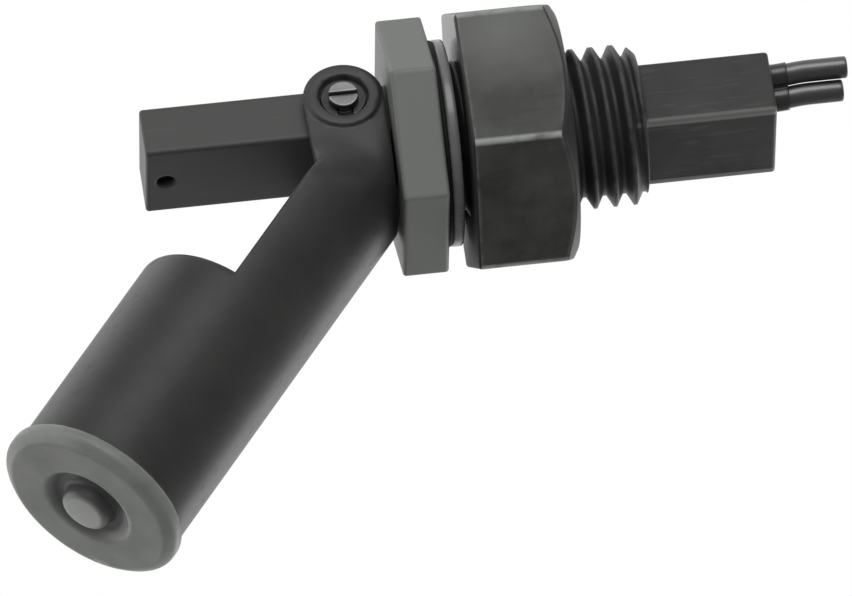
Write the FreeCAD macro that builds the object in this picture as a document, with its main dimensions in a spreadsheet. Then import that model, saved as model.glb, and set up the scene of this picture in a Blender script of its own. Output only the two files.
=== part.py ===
import FreeCAD, Part
import math
import os
import re
import Sketcher
from FreeCAD import Placement, Rotation, Vector

# Side-mounted float level switch with a threaded shank, a hinged float and a
# reed contact potted inside the stem.
# Frame: the origin is the centre of the flange's sealing face, on the thread
# axis. +X runs out of the tank, towards the nut and the leads. +Z is up as
# installed, so the float hangs below the stem. The -Y side carries the near ear.

os.makedirs("parts", exist_ok=True)
doc = FreeCAD.newDocument("float_level_switch")
X_AXIS = Vector(1, 0, 0)
Y_AXIS = Vector(0, 1, 0)
Z_AXIS = Vector(0, 0, 1)

# Driving dimensions, in millimetres and degrees.
SIZES = {
    # threaded shank and the clamp stack on it, from the sealing face outwards
    "thread_dia": 16.0,
    "thread_pitch": 2.0,
    "thread_depth": 1.2,
    "thread_crest": 0.3,
    "thread_root": 0.36,
    "thread_start": 1.05,
    "thread_play": 0.12,
    "thread_side_play": 0.08,
    "shank_length": 20.5,
    "shank_chamfer": 1.0,
    "flange_width": 22.2,
    "flange_thick": 4.6,
    "gasket_width": 2.15,
    "gasket_thick": 0.55,
    "washer_width": 2.15,
    "washer_thick": 1.1,
    "ring_play": 0.15,
    "nut_gap": 0.85,
    "nut_width": 25.3,
    "nut_height": 10.45,
    "nut_turn_angle": 37.2,
    "nut_corner": 0.75,
    "nut_bevel_angle": 30.0,
    # stem inside the tank and cable end outside it
    "stem_wide": 9.8,
    "stem_high": 5.6,
    "stem_rise": 1.6,
    "stem_reach": 29.0,
    "rear_inset": 0.21,
    "rear_high": 7.25,
    "rear_drop": 0.27,
    "rear_reach": 33.6,
    "mould_radius": 0.35,
    # hollow for the reed, potting cup and potting hole
    "bore_wide": 5.6,
    "bore_high": 4.0,
    "tip_wall": 1.0,
    "cup_wall": 0.65,
    "cup_floor": 20.0,
    "hole_dia": 1.9,
    "hole_inset": 2.0,
    # pivot
    "pivot_setback": 8.9,
    "pivot_rise": 2.1,
    "pin_dia": 3.0,
    "pin_grip": 1.5,
    "pin_play": 0.05,
    "pin_proud": 0.25,
    "pin_slot": 0.55,
    "pin_slot_depth": 0.6,
    "clip_groove_dia": 2.3,
    "clip_thick": 0.45,
    "clip_dia": 4.5,
    "clip_mouth": 1.5,
    # float, drawn raised, from the pivot towards its free end
    "droop_angle": 52.5,
    "float_dia": 18.3,
    "float_drop": 0.95,
    "float_wall": 1.2,
    "drum_start": 25.0,
    "drum_end": 49.6,
    "drum_shoulder": 0.9,
    "arm_top": 2.45,
    "stem_play": 0.3,
    "ear_lean_angle": 40.0,
    "ear_outside": 6.5,
    "ear_flare": 2.6,
    "boss_radius": 3.6,
    "boss_proud": 0.4,
    "boss_recess_dia": 5.1,
    "boss_recess": 1.0,
    "clip_play": 0.05,
    "arm_hollow_wide": 10.0,
    "arm_hollow_end": 20.0,
    # end cap of the float
    "rim_dia": 19.4,
    "rim_thick": 1.15,
    "crown_dia": 17.4,
    "crown_thick": 0.8,
    "spigot_deep": 2.0,
    "spigot_wall": 1.0,
    "dish_dia": 9.6,
    "dish_deep": 0.9,
    "knob_dia": 4.4,
    "knob_proud": 0.8,
    "notch_wide": 1.6,
    "notch_deep": 0.7,
    # magnet
    "magnet_dia": 4.0,
    "magnet_length": 10.0,
    "magnet_start": 8.4,
    "magnet_drop": 6.75,
    "magnet_play": 0.05,
    "plug_length": 1.4,
    # reed contact
    "reed_dia": 1.8,
    "reed_length": 10.0,
    "reed_inset": 2.5,
    "reed_wall": 0.25,
    "reed_seal": 0.8,
    "reed_overlap": 1.2,
    "reed_gap": 0.1,
    "blade_wide": 0.9,
    "blade_thick": 0.2,
    "tail_dia": 0.5,
    "tail_lead": 0.5,
    "front_tail": 1.8,
    "rear_tail": 3.0,
    "cushion_dia": 2.4,
    "cushion_length": 9.0,
    # leads
    "lane": 1.35,
    "lane_rise": 1.5,
    "lead_dia": 2.2,
    "wire_dia": 1.0,
    "wire_bare": 3.0,
    "crimp_dia": 1.6,
    "crimp_length": 3.4,
    "sleeve_wall": 0.2,
    "sleeve_lap": 0.8,
    "lead_side_gap": 0.2,
    "lead_exit_rise": 1.78,
    "lead_pitch": 2.26,
    "lead_lean_angle": 36.0,
    "lead_lift": 0.25,
    "lead_end": 41.35,
    "lead_stagger": 0.6,
    "lead_rise_run": 4.0,
    "near_bend_early": 2.0,
    "lead_mouth_run": 1.0,
    "collar_reach": 1.7,
    "collar_wall": 0.15,
}

sheet = doc.addObject("Spreadsheet::Sheet", "sizes")
for row, (alias, value) in enumerate(SIZES.items(), start=1):
    sheet.set("A%d" % row, alias)
    sheet.set("B%d" % row, str(value))
    sheet.setAlias("B%d" % row, alias)
doc.recompute()

SIZE_WORD = re.compile(r"\b(" + "|".join(SIZES) + r")\b")
# Places and directions nearer to each other than this are the same.
SAME = 1e-6
subparts = {}


# --- helpers -----------------------------------------------------------------

def linked(expression):
    """The expression with each size's name pointed at its cell."""
    return SIZE_WORD.sub(r"sizes.\1", expression)


def bind(item, **settings):
    """Tie properties to expressions; a double underscore stands for a dot."""
    for name, expression in settings.items():
        item.setExpression(name.replace("__", "."), linked(expression))


def new_body(node):
    body = doc.addObject("PartDesign::Body", node)
    subparts[node] = body
    return body


def keep(node, item):
    """Make a finished object the sub-part of that name."""
    item.Label = node
    subparts[node] = item
    return item


def new_sketch(body, name, plane, offset="0", rise="0"):
    """A sketch on one of the body's origin planes, moved along the normal and along its second axis."""
    sketch = body.newObject("Sketcher::SketchObject", body.Name + "_" + name)
    planes = [item for item in body.Origin.OriginFeatures if item.Role == plane]
    sketch.AttachmentSupport = [(planes[0], "")]
    sketch.MapMode = "FlatFace"
    bind(sketch, AttachmentOffset__Base__z=offset, AttachmentOffset__Base__y=rise)
    return sketch


def fix_point(sketch, curve, end, x, y):
    for kind, expression in (("DistanceX", x), ("DistanceY", y)):
        index = sketch.addConstraint(Sketcher.Constraint(kind, -1, 1, curve, end, 0.0))
        sketch.setExpression("Constraints[%d]" % index, linked(expression))


def outline(sketch, corners):
    """A closed straight-sided outline whose corners are pairs of expressions."""
    count = len(corners)
    first = sketch.GeometryCount
    guess = [Rotation(Z_AXIS, 360.0 * k / count).multVec(X_AXIS) for k in range(count)]
    for k in range(count):
        sketch.addGeometry(Part.LineSegment(guess[k], guess[(k + 1) % count]))
    for k in range(count):
        sketch.addConstraint(Sketcher.Constraint("Coincident", first + k, 2, first + (k + 1) % count, 1))
    for k, (x, y) in enumerate(corners):
        fix_point(sketch, first + k, 1, x, y)
    return sketch


def rectangle(sketch, left, right, low, high):
    return outline(sketch, [(left, low), (right, low), (right, high), (left, high)])


def hexagon(sketch, width, turn="0"):
    """A regular hexagon of that width across flats, one corner turned from the first axis."""
    corners = []
    for k in range(6):
        angle = "(%d + %s) * 1 deg" % (60 * k, turn)
        radius = "%s / sqrt(3)" % width
        corners.append(("%s * cos(%s)" % (radius, angle), "%s * sin(%s)" % (radius, angle)))
    return outline(sketch, corners)


def circle(sketch, radius, x="0", y="0"):
    index = sketch.addGeometry(Part.Circle(Vector(0, 0, 0), Z_AXIS, 1.0))
    fix_point(sketch, index, 3, x, y)
    constraint = sketch.addConstraint(Sketcher.Constraint("Radius", index, 1.0))
    sketch.setExpression("Constraints[%d]" % constraint, linked(radius))
    return sketch


def settle(feature, grows):
    """Recompute, and stop if the feature failed or changed nothing in the right sense."""
    doc.recompute()
    before = feature.BaseFeature.Shape.Volume if feature.BaseFeature else 0.0
    gained = feature.Shape.Volume - before
    if "Invalid" in feature.State or gained * (1 if grows else -1) <= 0:
        raise ValueError("%s changed nothing" % feature.Label)
    return feature


def pad(body, sketch, length, back=False, both=False):
    """Add the sketch's outline: along the plane's normal, against it, or half each way."""
    feature = body.newObject("PartDesign::Pad", sketch.Name + "_pad")
    feature.Profile = sketch
    feature.Reversed = back
    feature.SideType = "Symmetric" if both else "One side"
    bind(feature, Length=length)
    return settle(feature, True)


def pocket(body, sketch, length, ahead=False, both=False):
    """Cut the sketch's outline: against the plane's normal, along it, or half each way."""
    feature = body.newObject("PartDesign::Pocket", sketch.Name + "_pocket")
    feature.Profile = sketch
    feature.Reversed = ahead
    feature.SideType = "Symmetric" if both else "One side"
    bind(feature, Length=length)
    return settle(feature, False)


def revolve(body, sketch):
    """Turn the sketch's outline about its own first axis."""
    feature = body.newObject("PartDesign::Revolution", sketch.Name + "_turned")
    feature.Profile = sketch
    feature.ReferenceAxis = (sketch, ["H_Axis"])
    feature.Angle = 360.0
    return settle(feature, True)


def turn_away(body, sketch, axis="H_Axis"):
    """Cut the sketch's outline all round one of its own axes."""
    feature = body.newObject("PartDesign::Groove", sketch.Name + "_cut")
    feature.Profile = sketch
    feature.ReferenceAxis = (sketch, [axis])
    feature.Angle = 360.0
    return settle(feature, False)


def wind_groove(body, sketch, start, finish):
    """Cut the sketch's outline along the thread's helix, from start to finish."""
    feature = body.newObject("PartDesign::SubtractiveHelix", sketch.Name + "_groove")
    feature.Profile = sketch
    feature.ReferenceAxis = (sketch, ["H_Axis"])
    feature.Mode = "pitch-height-angle"
    bind(feature, Pitch="thread_pitch", Height="%s - (%s)" % (finish, start))
    return settle(feature, False)


def dress(body, kind, size, wanted):
    """Round or bevel the edges of the last feature that the test picks."""
    base = body.Tip
    names = ["Edge%d" % (k + 1) for k, edge in enumerate(base.Shape.Edges) if wanted(edge)]
    feature = body.newObject("PartDesign::" + kind, body.Name + "_" + kind.lower())
    feature.Base = (base, names)
    bind(feature, **{"Radius" if kind == "Fillet" else "Size": size})
    return settle(feature, False)


def size(alias):
    """A driving dimension, read from its cell."""
    return float(sheet.get(alias))


def runs_along(edge, axis):
    """True for a straight edge that is parallel to the axis."""
    if not isinstance(edge.Curve, Part.Line):
        return False
    return abs(abs(edge.Curve.Direction.dot(axis)) - 1.0) < SAME


def round_bar(node, radius, start, finish, y, z):
    """A round bar along X as a body of its own."""
    bar = new_body(node)
    pad(bar, circle(new_sketch(bar, "end", "YZ_Plane", start), radius, y, z), "%s - (%s)" % (finish, start))
    return bar


def round_tube(node, bore, radius, start, finish, y, z):
    """A round tube along X as a body of its own."""
    tube = new_body(node)
    end = new_sketch(tube, "end", "YZ_Plane", start)
    circle(end, radius, y, z)
    circle(end, bore, y, z)
    pad(tube, end, "%s - (%s)" % (finish, start))
    return tube


def helper_bar(name, radius, start, finish, y, z):
    """A round bar along X that only serves to cut or fuse."""
    item = doc.addObject("Part::Cylinder", name)
    item.Placement = Placement(Vector(0, 0, 0), Rotation(Y_AXIS, 90))
    bind(item, Radius=radius, Height="%s - (%s)" % (finish, start))
    bind(item, Placement__Base__x=start, Placement__Base__y=y, Placement__Base__z=z)
    return item


def block(name, x_range, y_range, z_range):
    """A box between two places on each axis."""
    item = doc.addObject("Part::Box", name)
    for side, axis, (low, high) in zip(("Length", "Width", "Height"), "xyz", (x_range, y_range, z_range)):
        bind(item, **{side: "%s - (%s)" % (high, low), "Placement__Base__" + axis: low})
    return item


def combine(kind, name, base, tool):
    """A Part boolean of two objects."""
    item = doc.addObject("Part::" + kind, name)
    item.Base = base
    item.Tool = tool
    return item


def fuse(name, pieces):
    item = doc.addObject("Part::MultiFuse", name)
    item.Shapes = pieces
    return item


def hang_from_pivot(item):
    """Place a float piece, drawn raised about its own origin, on the pivot and let it droop."""
    item.Placement = Placement(Vector(0, 0, 0), Rotation(-Y_AXIS, 1))
    bind(item, Placement__Base__x="-pivot_setback", Placement__Base__z="pivot_rise")
    bind(item, Placement__Rotation__Angle="droop_angle")
    return item


# --- switch body: one moulding with stem, flange, thread and cable end ---------

body = new_body("switch_body")

pad(body, hexagon(new_sketch(body, "flange", "YZ_Plane"), "flange_width"), "flange_thick", back=True)
dress(body, "Fillet", "mould_radius", lambda edge: True)

shank = new_sketch(body, "shank", "XZ_Plane")
outline(shank, [
    ("-flange_thick / 2", "0"),
    ("-flange_thick / 2", "thread_dia / 2"),
    ("shank_length - shank_chamfer", "thread_dia / 2"),
    ("shank_length", "thread_dia / 2 - shank_chamfer"),
    ("shank_length", "0"),
])
revolve(body, shank)

# A flank moves this far along the axis for each millimetre of depth.
FLANK = "((thread_pitch - thread_crest - thread_root) / 2 / thread_depth)"


def trapezium(sketch, middle, tip, tip_half, foot, foot_half):
    """A groove's section: its middle, and half its width at the tip and at the foot."""
    return outline(sketch, [
        ("%s - %s" % (middle, tip_half), tip),
        ("%s - %s" % (middle, foot_half), foot),
        ("%s + %s" % (middle, foot_half), foot),
        ("%s + %s" % (middle, tip_half), tip),
    ])


# The cutter stands a little proud of the crests, where its turns don't meet, and winds off the end.
thread_cut = trapezium(
    new_sketch(body, "thread", "XZ_Plane"), "thread_start",
    "thread_dia / 2 - thread_depth", "thread_root / 2",
    "thread_dia / 2 + thread_crest / 4 / " + FLANK, "(thread_pitch / 2 - thread_crest / 4)",
)
wind_groove(body, thread_cut, "thread_start", "shank_length + thread_pitch")

# The cable end is as wide as lets its lower corners pass through the nut, inside the thread's core.
REAR_LOW = "(rear_drop + rear_high / 2)"
REAR_HALF = "sqrt((thread_dia / 2 - thread_depth - rear_inset) ^ 2 - %s ^ 2)" % REAR_LOW
rear = new_sketch(body, "rear", "YZ_Plane")
rectangle(rear, "-" + REAR_HALF, REAR_HALF, "-" + REAR_LOW, "rear_high / 2 - rear_drop")
pad(body, rear, "rear_reach")

STEM_LOW = "stem_rise - stem_high / 2"
STEM_TOP = "stem_rise + stem_high / 2"
stem = new_sketch(body, "stem", "YZ_Plane")
rectangle(stem, "-stem_wide / 2", "stem_wide / 2", STEM_LOW, STEM_TOP)
pad(body, stem, "stem_reach", back=True)


def box_edge(edge):
    """The long edges of the stem and the cable end, and the rims of their free ends."""
    if edge.Degenerated:
        return False
    place = edge.CenterOfMass
    beyond_flange = place.x < -size("flange_thick") or place.x > size("shank_length")
    at_end = min(abs(place.x + size("stem_reach")), abs(place.x - size("rear_reach"))) < SAME
    return isinstance(edge.Curve, Part.Line) and beyond_flange and (runs_along(edge, X_AXIS) or at_end)


dress(body, "Fillet", "mould_radius", box_edge)

# The potting cup opens at the cable end; the reed bore runs on from its floor to the tip.
CUP_HALF = "(%s - cup_wall)" % REAR_HALF
CUP_LOW = "(cup_wall - %s)" % REAR_LOW
CUP_TOP = "(rear_high / 2 - rear_drop - cup_wall)"
BORE_TIP = "(-stem_reach + tip_wall)"
BORE_LOW = "(stem_rise - bore_high / 2)"
BORE_TOP = "(stem_rise + bore_high / 2)"

cup = new_sketch(body, "cup", "YZ_Plane", "rear_reach")
rectangle(cup, "-" + CUP_HALF, CUP_HALF, CUP_LOW, CUP_TOP)
pocket(body, cup, "rear_reach - cup_floor")

bore = new_sketch(body, "bore", "YZ_Plane", "cup_floor")
rectangle(bore, "-bore_wide / 2", "bore_wide / 2", BORE_LOW, BORE_TOP)
pocket(body, bore, "cup_floor - %s" % BORE_TIP)

hole = new_sketch(body, "hole", "XY_Plane", STEM_LOW)
circle(hole, "hole_dia / 2", "-stem_reach + hole_inset")
pocket(body, hole, "bore_high / 2 + %s - (%s)" % (BORE_LOW, STEM_LOW), ahead=True)

# A blind socket in each side of the stem grips a pivot pin. The XZ plane faces -Y.
for side, offset in (("near", "stem_wide / 2"), ("far", "-stem_wide / 2")):
    socket = new_sketch(body, "socket_" + side, "XZ_Plane", offset)
    circle(socket, "pin_dia / 2", "-pivot_setback", "pivot_rise")
    pocket(body, socket, "pin_grip", ahead=(side == "far"))


# --- clamp stack: gasket, washer and nut -------------------------------------

def ring(node, width, start, finish):
    """A flat ring of that width round the thread."""
    bore = "thread_dia / 2 + ring_play"
    body = new_body(node)
    section = new_sketch(body, "section", "XZ_Plane")
    revolve(body, rectangle(section, start, finish, bore, "%s + %s" % (bore, width)))


WASHER_END = "gasket_thick + washer_thick"
ring("sealing_gasket", "gasket_width", "0", "gasket_thick")
ring("flat_washer", "washer_width", "gasket_thick", WASHER_END)

NUT_START = "(%s + nut_gap)" % WASHER_END
NUT_END = "(%s + nut_height)" % NUT_START
nut = new_body("hex_nut")
nut_face = hexagon(new_sketch(nut, "face", "YZ_Plane", NUT_START), "nut_width", "nut_turn_angle")
pad(nut, nut_face, "nut_height")

# A turned cutter bevels the six corners of the outer face.
corner = new_sketch(nut, "corner", "XZ_Plane")
outline(corner, [
    (NUT_END, "nut_width / 2 - nut_corner"),
    (NUT_END, "nut_width"),
    (NUT_END + " - (nut_width / 2 + nut_corner) * tan(nut_bevel_angle * 1 deg)", "nut_width"),
])
turn_away(nut, corner)
dress(nut, "Fillet", "mould_radius", lambda edge: True)

NUT_CREST = "(thread_dia / 2 - thread_depth + thread_play)"
nut_bore = new_sketch(nut, "bore", "XZ_Plane")
outline(nut_bore, [
    (NUT_START, "0"),
    (NUT_START, "thread_dia / 2 + thread_play"),
    (NUT_START + " + thread_depth", NUT_CREST),
    (NUT_END + " - thread_depth", NUT_CREST),
    (NUT_END, "thread_dia / 2 + thread_play"),
    (NUT_END, "0"),
])
turn_away(nut, nut_bore)

# The nut's own groove follows the shank's tooth, half a pitch from its groove, with play all round.
TIP_HALF = "(thread_crest / 2 + thread_side_play)"
nut_cut = trapezium(
    new_sketch(nut, "thread", "XZ_Plane"), "(thread_start - thread_pitch / 2)",
    "thread_dia / 2 + thread_play", TIP_HALF,
    NUT_CREST + " - thread_play", "(%s + (thread_depth + thread_play) * %s)" % (TIP_HALF, FLANK),
)
wind_groove(nut, nut_cut, "thread_start - thread_pitch / 2", NUT_END + " + thread_pitch")


# --- float: a hollow drum, the arm that carries it and two ears ----------------
# Every float piece is drawn raised, with the pivot at its own origin, the drum
# towards -X and its lower side towards -Z, and then hung from the pivot.

EAR_RADIUS = "(pivot_setback - flange_thick - stem_play)"
EAR_FACE = "(ear_outside + boss_proud)"
CHANNEL_HALF = "(stem_wide / 2 + stem_play)"
CHANNEL_FLOOR = "(pivot_rise - (%s) + stem_play)" % STEM_LOW
DROOP = "(droop_angle * 1 deg)"
LEAN = "(ear_lean_angle * 1 deg)"
FAR_OUT = "float_dia"
DRUM_BORE = "(float_dia / 2 - float_wall)"

shell = new_body("float_shell")
drum = circle(new_sketch(shell, "drum", "YZ_Plane", "-drum_end"), "float_dia / 2", "0", "-float_drop")
pad(shell, drum, "drum_end + %s" % EAR_RADIUS)

# The arm keeps only the drum's lower side, below this flat.
flat = new_sketch(shell, "flat", "XZ_Plane")
rectangle(flat, "-drum_start", FAR_OUT, "-arm_top", FAR_OUT)
pocket(shell, flat, "2 * float_dia", both=True)

# Its back face lies along the flange when the float hangs down.
TANGENT_X = "(%s * cos(%s))" % (EAR_RADIUS, DROOP)
TANGENT_Z = "(-%s * sin(%s))" % (EAR_RADIUS, DROOP)
back = new_sketch(shell, "back", "XZ_Plane")
outline(back, [
    (TANGENT_X, TANGENT_Z),
    ("%s - %s * sin(%s)" % (TANGENT_X, FAR_OUT, DROOP), "%s - %s * cos(%s)" % (TANGENT_Z, FAR_OUT, DROOP)),
    (FAR_OUT, "-2 * " + FAR_OUT),
    (FAR_OUT, FAR_OUT),
    (TANGENT_X, FAR_OUT),
])
pocket(shell, back, "2 * float_dia", both=True)

# Towards the ears the arm narrows to their outside, along a short flare on each side.
LEG_FOOT = "(%s * sin(%s) + (%s * cos(%s) + arm_top) / tan(%s))" % (EAR_RADIUS, LEAN, EAR_RADIUS, LEAN, LEAN)
flare = new_sketch(shell, "flare", "XY_Plane")
for sign in ("", "-"):
    outline(flare, [
        ("-" + LEG_FOOT, sign + "float_dia / 2"),
        ("-%s + ear_flare" % LEG_FOOT, sign + "ear_outside"),
        (FAR_OUT, sign + "ear_outside"),
        (FAR_OUT, sign + FAR_OUT),
        ("-" + LEG_FOOT, sign + FAR_OUT),
    ])
pocket(shell, flare, "4 * float_dia", both=True)

# Each ear is a disc round the pivot on a leg that leans down to the arm's flat.
pad(shell, circle(new_sketch(shell, "ear", "XZ_Plane"), EAR_RADIUS), "2 * ear_outside", both=True)
leg = new_sketch(shell, "leg", "XZ_Plane")
outline(leg, [
    ("-%s * sin(%s)" % (EAR_RADIUS, LEAN), "%s * cos(%s)" % (EAR_RADIUS, LEAN)),
    ("-" + LEG_FOOT, "-arm_top"),
    ("-" + LEG_FOOT, "-arm_top - float_wall"),
    (TANGENT_X, TANGENT_Z),
])
pad(shell, leg, "2 * ear_outside", both=True)

# The channel takes the stem when the float is up, and clears its underside and root when it hangs.
channel = new_sketch(shell, "channel", "XZ_Plane")
RELIEF_X = "(-%s * sin(%s) + %s * cos(%s))" % (CHANNEL_FLOOR, DROOP, FAR_OUT, DROOP)
RELIEF_Z = "(-%s * cos(%s) - %s * sin(%s))" % (CHANNEL_FLOOR, DROOP, FAR_OUT, DROOP)
outline(channel, [
    ("-drum_start", "-" + CHANNEL_FLOOR),
    ("-%s * tan(%s / 2)" % (CHANNEL_FLOOR, DROOP), "-" + CHANNEL_FLOOR),
    (RELIEF_X, RELIEF_Z),
    (RELIEF_X, FAR_OUT),
    ("-drum_start", FAR_OUT),
])
pocket(shell, channel, "2 * " + CHANNEL_HALF, both=True)

for side, sign in (("near", ""), ("far", "-")):
    far = side == "far"
    boss = circle(new_sketch(shell, side + "_boss", "XZ_Plane", sign + "ear_outside"), "boss_radius")
    pad(shell, boss, "boss_proud", back=far)
    recess = circle(new_sketch(shell, side + "_recess", "XZ_Plane", sign + EAR_FACE), "boss_recess_dia / 2")
    pocket(shell, recess, "boss_recess", ahead=far)
eye = circle(new_sketch(shell, "eye", "XZ_Plane"), "pin_dia / 2 + pin_play")
pocket(shell, eye, "2 * " + EAR_FACE, both=True)


def shoulder_edge(edge):
    """The drum's outer edge, where the arm's flat starts."""
    at_start = abs(edge.CenterOfMass.x + size("drum_start")) < SAME
    return at_start and isinstance(edge.Curve, Part.Circle)


dress(shell, "Fillet", "drum_shoulder", shoulder_edge)

# Inside: the air chamber, a shallow hollow into the arm and the magnet's blind bore.
chamber = circle(new_sketch(shell, "chamber", "YZ_Plane", "-drum_end"), DRUM_BORE, "0", "-float_drop")
pocket(shell, chamber, "drum_end - drum_start - float_wall", ahead=True)
hollow = new_sketch(shell, "hollow", "YZ_Plane", "-drum_end")
HOLLOW_LOW = "(-float_drop - sqrt(%s ^ 2 - (arm_hollow_wide / 2) ^ 2))" % DRUM_BORE
HOLLOW_TOP = "-%s - float_wall" % CHANNEL_FLOOR
rectangle(hollow, "-arm_hollow_wide / 2", "arm_hollow_wide / 2", HOLLOW_LOW, HOLLOW_TOP)
pocket(shell, hollow, "drum_end - arm_hollow_end", ahead=True)
seat = new_sketch(shell, "magnet_bore", "YZ_Plane", "-drum_end")
circle(seat, "magnet_dia / 2 + magnet_play", "0", "-magnet_drop")
pocket(shell, seat, "drum_end - magnet_start", ahead=True)
hang_from_pivot(shell)

MAGNET_END = "(-magnet_start - magnet_length)"
magnet = round_bar("magnet", "magnet_dia / 2", MAGNET_END, "-magnet_start", "0", "-magnet_drop")
hang_from_pivot(magnet)
PLUG_END = MAGNET_END + " - plug_length"
plug = round_bar("magnet_plug", "magnet_dia / 2 + magnet_play", PLUG_END, MAGNET_END, "0", "-magnet_drop")
hang_from_pivot(plug)

# The end cap is welded on: a rim proud of the drum, a bevelled crown, a dished face and a knob.
cap = new_body("float_end_cap")
CROWN = "(-drum_end - rim_thick - crown_thick)"
profile = new_sketch(cap, "profile", "XZ_Plane", rise="-float_drop")
outline(profile, [
    ("-drum_end", "0"),
    ("-drum_end", DRUM_BORE + " - spigot_wall"),
    ("-drum_end + spigot_deep", DRUM_BORE + " - spigot_wall"),
    ("-drum_end + spigot_deep", DRUM_BORE),
    ("-drum_end", DRUM_BORE),
    ("-drum_end", "rim_dia / 2"),
    ("-drum_end - rim_thick", "rim_dia / 2"),
    (CROWN, "crown_dia / 2"),
    (CROWN, "dish_dia / 2"),
    (CROWN + " + dish_deep", "knob_dia / 2"),
    (CROWN + " - knob_proud", "knob_dia / 2"),
    (CROWN + " - knob_proud", "0"),
])
revolve(cap, profile)
notch = new_sketch(cap, "notch", "YZ_Plane", CROWN)
rectangle(notch, "rim_dia / 2 - notch_deep", "rim_dia", "-float_drop - notch_wide", "-float_drop")
pocket(cap, notch, "rim_thick + crown_thick", ahead=True)
hang_from_pivot(cap)


# --- pivot: a pin in each side of the stem, held in its ear by a clip ----------

CLIP_INSIDE = "(%s - boss_recess + clip_play)" % EAR_FACE
PIN_END = "(%s + pin_proud)" % EAR_FACE
PIN_ROOT = "(stem_wide / 2 - pin_grip)"


def set_at_pivot(item, turn):
    """Place a piece drawn on the near side at the pivot, or turn it round to the far side."""
    item.Placement = Placement(Vector(0, 0, 0), Rotation(Z_AXIS, turn))
    bind(item, Placement__Base__x="-pivot_setback", Placement__Base__z="pivot_rise")


for side, turn in (("near", 0), ("far", 180)):
    pin = new_body(side + "_pivot_pin")
    pin_round = circle(new_sketch(pin, "round", "XZ_Plane", PIN_ROOT), "pin_dia / 2")
    pad(pin, pin_round, "%s - %s" % (PIN_END, PIN_ROOT))
    neck = new_sketch(pin, "neck", "XY_Plane")
    rectangle(neck, "clip_groove_dia / 2", "pin_dia", "-%s - clip_thick" % CLIP_INSIDE, "-" + CLIP_INSIDE)
    turn_away(pin, neck, "V_Axis")
    slot = new_sketch(pin, "slot", "XZ_Plane", PIN_END)
    rectangle(slot, "-pin_dia", "pin_dia", "-pin_slot / 2", "pin_slot / 2")
    pocket(pin, slot, "pin_slot_depth")
    set_at_pivot(pin, turn)

    clip = new_body(side + "_pivot_clip")
    face = new_sketch(clip, "face", "XZ_Plane", CLIP_INSIDE)
    circle(face, "clip_dia / 2")
    circle(face, "clip_groove_dia / 2")
    pad(clip, face, "clip_thick")
    mouth = new_sketch(clip, "mouth", "XZ_Plane", CLIP_INSIDE)
    rectangle(mouth, "-clip_mouth / 2", "clip_mouth / 2", "-clip_dia", "0")
    pocket(clip, mouth, "clip_thick", ahead=True)
    set_at_pivot(clip, turn)


# --- reed contact: two blades sealed in a glass tube ---------------------------
# The reed lies in the near lane of the bore, and its front tail turns back into the far lane.

REED_Y = "-lane"
REED_FRONT = "(%s + reed_inset)" % BORE_TIP
REED_REAR = "(%s + reed_length)" % REED_FRONT
REED_MIDDLE = "(%s + reed_length / 2)" % REED_FRONT
FAR_JOINT = "(%s - tail_lead + front_tail)" % REED_FRONT
NEAR_JOINT = "(%s + rear_tail)" % REED_REAR

glass = new_body("reed_glass")
glass_section = new_sketch(glass, "section", "XY_Plane", "lane_rise", REED_Y)
TUBE_BORE = "(reed_dia / 2 - reed_wall)"
outline(glass_section, [
    (REED_FRONT, "tail_dia / 2"),
    (REED_FRONT, "reed_dia / 2 - reed_wall"),
    (REED_FRONT + " + reed_wall", "reed_dia / 2"),
    (REED_REAR + " - reed_wall", "reed_dia / 2"),
    (REED_REAR, "reed_dia / 2 - reed_wall"),
    (REED_REAR, "tail_dia / 2"),
    (REED_REAR + " - reed_seal", "tail_dia / 2"),
    (REED_REAR + " - reed_seal", TUBE_BORE),
    (REED_FRONT + " + reed_seal", TUBE_BORE),
    (REED_FRONT + " + reed_seal", "tail_dia / 2"),
])
revolve(glass, glass_section)

CUSHION = ("%s - cushion_length / 2" % REED_MIDDLE, "%s + cushion_length / 2" % REED_MIDDLE)
round_tube("reed_cushion", "reed_dia / 2", "cushion_dia / 2", *CUSHION, REED_Y, "lane_rise")


def swept_round(name, path, radius):
    """A round bar along a path of smoothly joined edges."""
    spine = Part.Wire(path)
    start = path[0].Vertexes[0].Point
    rim = Part.Wire(Part.Circle(start, X_AXIS, radius).toShape())
    item = doc.addObject("Part::Feature", name)
    item.Shape = spine.makePipeShell([rim], True, True)
    return item


reed_front = -size("stem_reach") + size("tip_wall") + size("reed_inset")
bend_x = reed_front - size("tail_lead")
lane_y = size("lane")
lane_z = size("lane_rise")
far_joint = bend_x + size("front_tail")


# The front tail leaves the seal, turns through half a circle and comes back alongside.
seal_point = Vector(reed_front + size("reed_seal"), -lane_y, lane_z)
bend_start = Vector(bend_x, -lane_y, lane_z)
bend_top = Vector(bend_x - lane_y, 0, lane_z)
bend_end = Vector(bend_x, lane_y, lane_z)
front_path = [
    Part.makeLine(seal_point, bend_start),
    Part.Arc(bend_start, bend_top, bend_end).toShape(),
    Part.makeLine(bend_end, Vector(far_joint, lane_y, lane_z)),
]
front_tail = swept_round("front_tail", front_path, size("tail_dia") / 2)
SEAL_REAR = REED_REAR + " - reed_seal"
rear_tail = helper_bar("rear_tail", "tail_dia / 2", SEAL_REAR, NEAR_JOINT, REED_Y, "lane_rise")

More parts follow.
